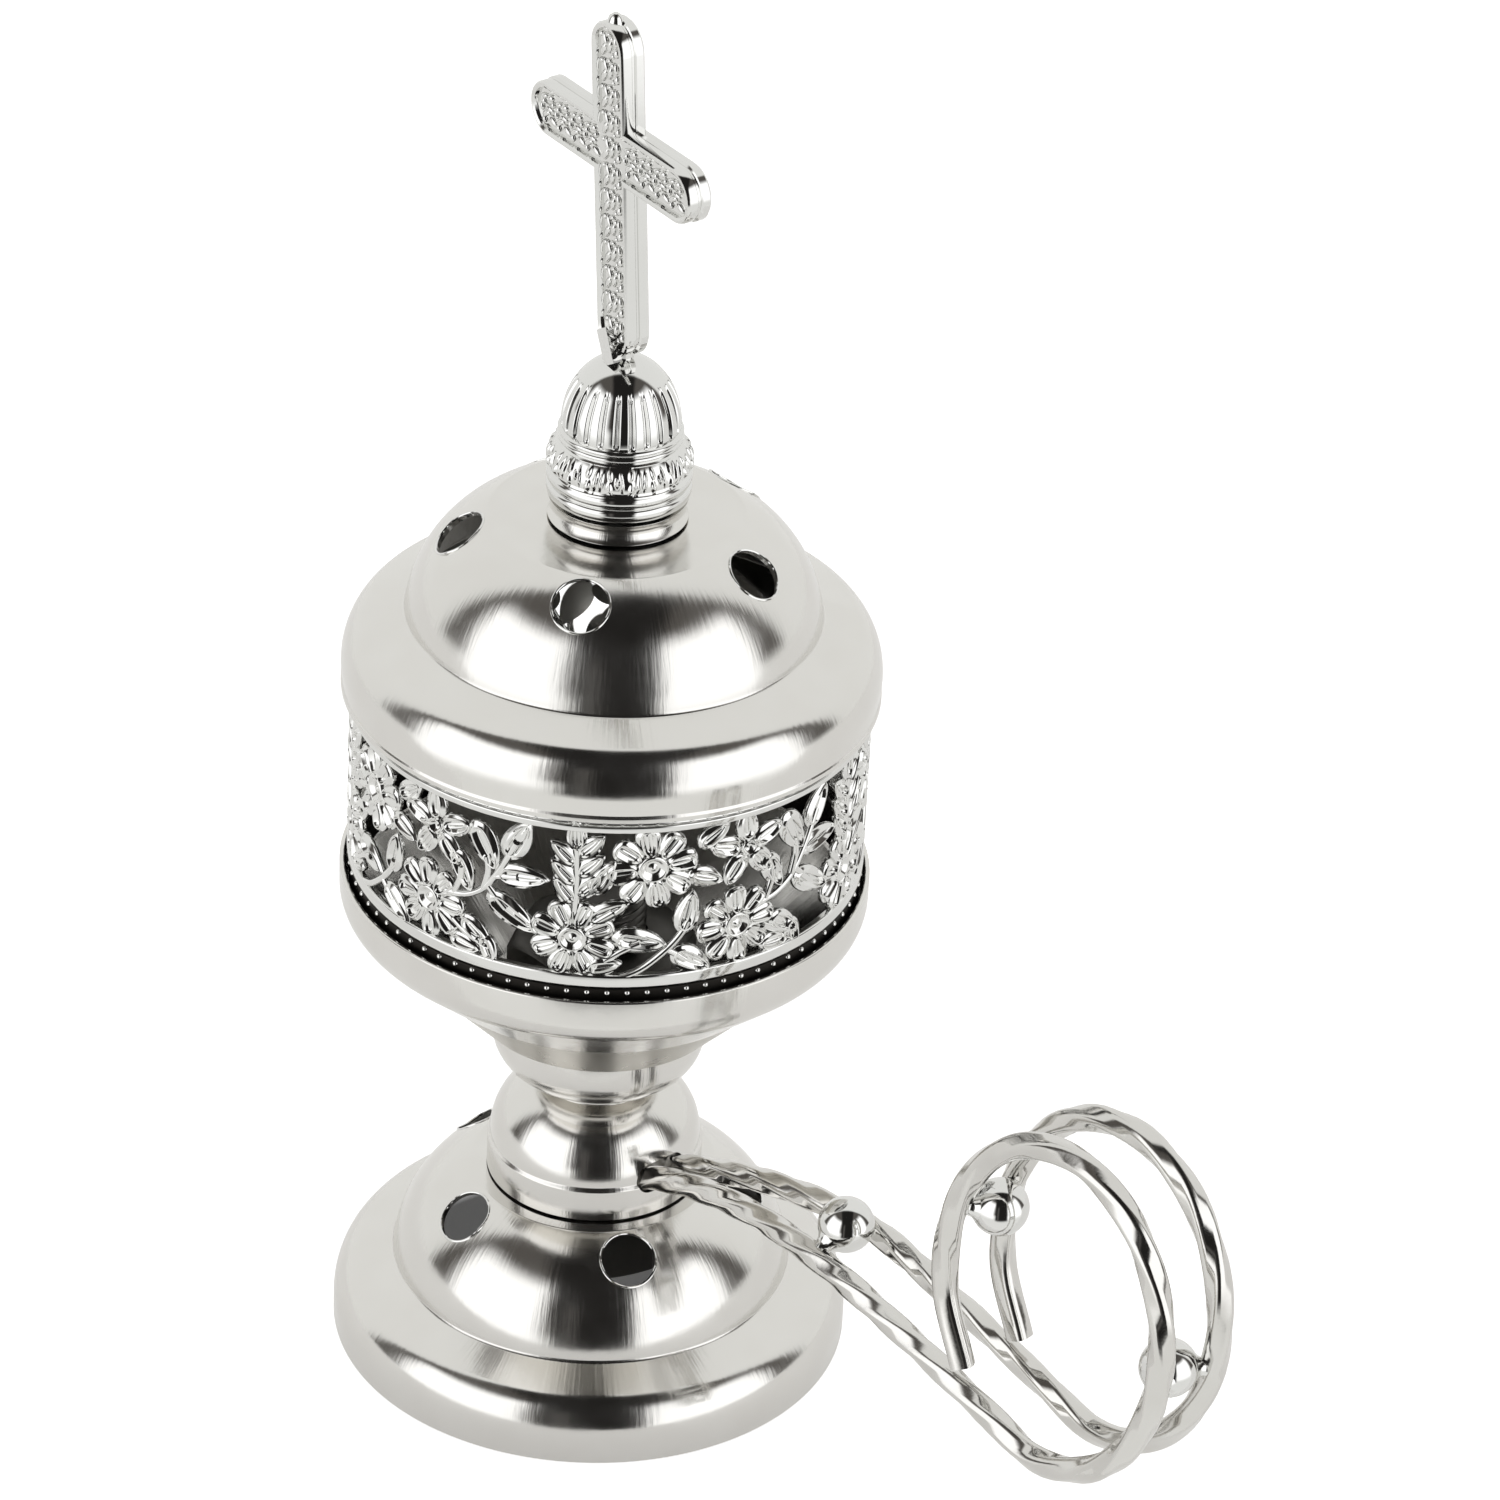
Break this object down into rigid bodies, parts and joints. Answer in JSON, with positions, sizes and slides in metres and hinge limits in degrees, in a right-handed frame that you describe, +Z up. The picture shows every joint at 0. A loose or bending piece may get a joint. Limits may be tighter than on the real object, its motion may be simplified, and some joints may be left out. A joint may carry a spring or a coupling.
{
  "type": "table censer",
  "caption": "Small table incense burner: a footed bowl with a side handle of twisted wire, and a lift-off domed lid with a pierced floral gallery and a cross.",
  "frame": {"origin": "On the table plane, under the middle of the whole object's bounding box. The turned axis of foot, bowl and lid stands at x = -33.7 mm, y = 0.", "axes": "+Z up along the turned axis, +X along the handle from the bowl to its scroll, +Y to the left of the handle"},
  "size_m": [0.1276, 0.0602, 0.1674],
  "materials": {
    "spun_nickel": "spun sheet, nickel plated, satin bright",
    "satin_nickel": "nickel plated, satin",
    "bright_chrome": "mirror bright plating",
    "twisted_chrome": "bright plated twisted square bar",
    "dark_steel": "plain steel, slightly dull"
  },
  "bodies": {
    "stand": {"base_shell": "spun_nickel", "base_washer": "dark_steel", "base_nut": "dark_steel", "tie_rod": "dark_steel", "knop": "spun_nickel", "stem_cup": "spun_nickel", "bowl": "spun_nickel", "bowl_washer": "dark_steel", "bowl_nut": "dark_steel", "handle_wire_front": "twisted_chrome", "handle_wire_back": "twisted_chrome", "handle_bead_1": "bright_chrome", "handle_bead_2": "bright_chrome", "handle_bead_3": "bright_chrome"},
    "lid": {"lid_shell": "spun_nickel", "gallery_band": "bright_chrome", "seat_ring": "satin_nickel", "lid_collar": "satin_nickel", "finial_cap": "bright_chrome", "cross": "bright_chrome", "finial_stud": "dark_steel", "stud_washer": "dark_steel", "stud_nut": "dark_steel"}
  },
  "joints": [
    {"name": "lid_lift", "type": "slide", "parent": "stand", "child": "lid", "axis": [0, 0, 1], "range_m": [0, 0.05]}
  ]
}
